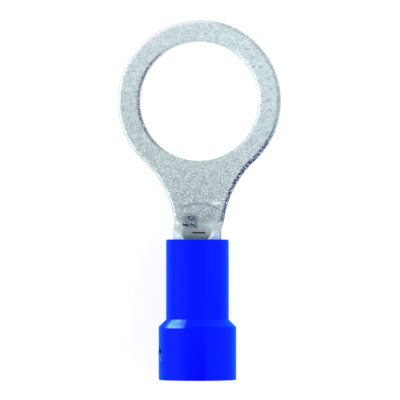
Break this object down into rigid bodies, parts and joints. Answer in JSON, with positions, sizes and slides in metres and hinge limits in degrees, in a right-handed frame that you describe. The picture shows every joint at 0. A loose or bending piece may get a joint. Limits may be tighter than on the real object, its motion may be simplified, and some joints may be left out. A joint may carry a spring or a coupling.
{
  "type": "insulated ring terminal",
  "caption": "Insulated ring terminal: a tinned copper ring tongue rolled into a wire barrel, in a blue moulded sleeve with a flared wire entry.",
  "frame": {"origin": "centre of the stud hole on the flat underside of the tongue", "axes": "+Z along the stud, towards the side that the barrel stands up on and its seam is on; -Y along the wire, out of the sleeve; +X across the ring"},
  "size_m": [0.0144, 0.0317, 0.0068],
  "materials": {
    "tinned_copper": "matt tin plate over copper, finely speckled",
    "blue_vinyl": "semi-gloss moulded soft vinyl"
  },
  "bodies": {
    "root": {"terminal_body": "tinned_copper", "insulating_sleeve": "blue_vinyl"}
  },
  "joints": []
}
